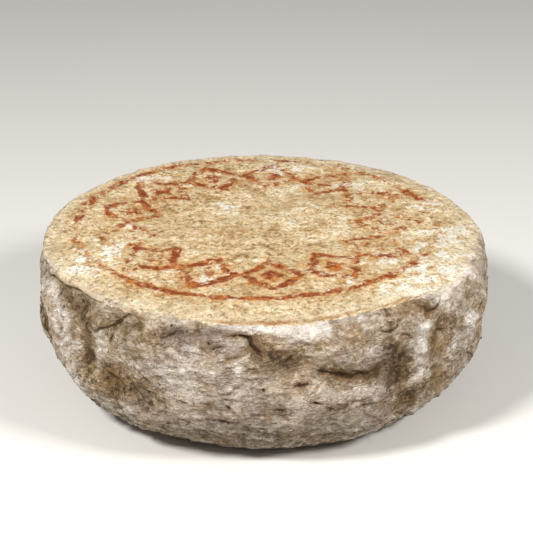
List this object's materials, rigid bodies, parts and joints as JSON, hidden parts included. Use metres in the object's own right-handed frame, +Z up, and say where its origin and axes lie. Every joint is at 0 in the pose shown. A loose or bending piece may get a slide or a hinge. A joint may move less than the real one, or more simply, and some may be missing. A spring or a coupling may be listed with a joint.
{
  "type": "tomme de savoie cheese wheel",
  "caption": "Whole round of aged mountain cheese with a creased, mouldy grey rind and a worn red stamped ring on its top face; it rests flat on its base.",
  "frame": {"origin": "middle of the flat base, on the surface that the wheel rests on", "axes": "+Z up through the middle of the round, -Y towards the front of the picture, +X to its right"},
  "size_m": [0.1954, 0.1954, 0.0677],
  "materials": {
    "rind": "dry, matt, mottled natural rind with powdery mould, cream on top and grey-brown on the side"
  },
  "bodies": {
    "root": {"cheese_wheel": "rind"}
  },
  "joints": []
}
